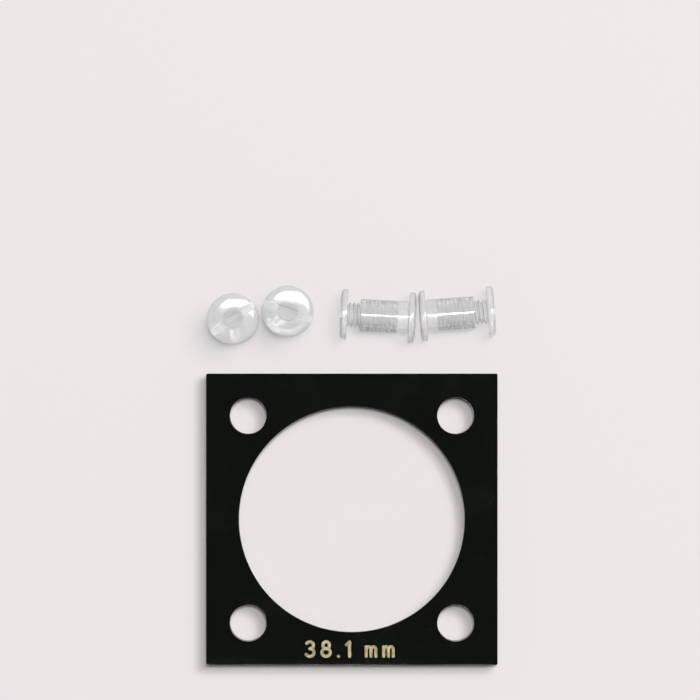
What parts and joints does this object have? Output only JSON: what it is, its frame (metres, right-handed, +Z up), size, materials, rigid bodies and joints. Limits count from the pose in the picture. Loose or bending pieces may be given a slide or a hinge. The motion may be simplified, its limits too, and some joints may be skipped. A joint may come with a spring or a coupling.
{
  "type": "acrylic coin holder",
  "caption": "Square acrylic coin holder: black frame with a round coin opening between clear covers, beside loose clear post-and-screw fasteners for its corner holes.",
  "frame": {"origin": "centre of the back cover's lower face", "axes": "+Z up out of the front cover, +Y from the plates towards the loose screws (the top of the picture), +X to the right"},
  "size_m": [0.05, 0.0651, 0.013],
  "materials": {
    "black_acrylic": "polished cast sheet, opaque",
    "clear_acrylic": "polished cast sheet, clear",
    "clear_moulding": "injection-moulded, clear"
  },
  "bodies": {
    "back_cover": {"back_cover": "clear_acrylic"},
    "coin_frame": {"coin_frame": "black_acrylic"},
    "front_cover": {"front_cover": "clear_acrylic"},
    "post_1": {"post_1": "clear_moulding"},
    "post_2": {"post_2": "clear_moulding"},
    "post_3": {"post_3": "clear_moulding"},
    "post_4": {"post_4": "clear_moulding"},
    "screw_1": {"screw_1": "clear_moulding"},
    "screw_2": {"screw_2": "clear_moulding"},
    "screw_3": {"screw_3": "clear_moulding"},
    "screw_4": {"screw_4": "clear_moulding"}
  },
  "joints": [
    {"name": "frame_lift", "type": "slide", "parent": "back_cover", "child": "coin_frame", "axis": [0, 0, 1], "range_m": [0, 0.03]},
    {"name": "cover_lift", "type": "slide", "parent": "coin_frame", "child": "front_cover", "axis": [0, 0, 1], "range_m": [0, 0.03]},
    {"name": "post_1_turn", "type": "hinge", "parent": "back_cover", "child": "post_1", "pos_m": [-0.0204, 0.0344, 0], "axis": [0, 0, -1], "range_deg": [-1081, 2058]},
    {"name": "screw_1_travel", "type": "slide", "parent": "back_cover", "child": "screw_1", "axis": [0, 0, 1], "range_m": [-0.0021, 0.004]},
    {"name": "post_2_turn", "type": "hinge", "parent": "back_cover", "child": "post_2", "pos_m": [-0.011, 0.0357, 0], "axis": [0, 0, -1], "range_deg": [-1081, 2058]},
    {"name": "screw_2_travel", "type": "slide", "parent": "back_cover", "child": "screw_2", "axis": [0, 0, 1], "range_m": [-0.0021, 0.004]},
    {"name": "post_3_turn", "type": "hinge", "parent": "back_cover", "child": "post_3", "pos_m": [0.01099, 0.03456, 0.0044], "axis": [0.9986, -0.0523, 0], "range_deg": [-1081, 2058]},
    {"name": "screw_3_travel", "type": "slide", "parent": "back_cover", "child": "screw_3", "axis": [-0.9986, 0.0523, 0], "range_m": [-0.0021, 0.004]},
    {"name": "post_4_turn", "type": "hinge", "parent": "back_cover", "child": "post_4", "pos_m": [0.01162, 0.03485, 0.0044], "axis": [-0.9976, -0.0698, 0], "range_deg": [-1081, 2058]},
    {"name": "screw_4_travel", "type": "slide", "parent": "back_cover", "child": "screw_4", "axis": [0.9976, 0.0698, 0], "range_m": [-0.0021, 0.004]}
  ],
  "couplings": [
    {"joint": "post_1_turn", "follows": "screw_1_travel", "rad_per_m": 8976},
    {"joint": "post_2_turn", "follows": "screw_2_travel", "rad_per_m": 8976},
    {"joint": "post_3_turn", "follows": "screw_3_travel", "rad_per_m": 8976},
    {"joint": "post_4_turn", "follows": "screw_4_travel", "rad_per_m": 8976}
  ]
}
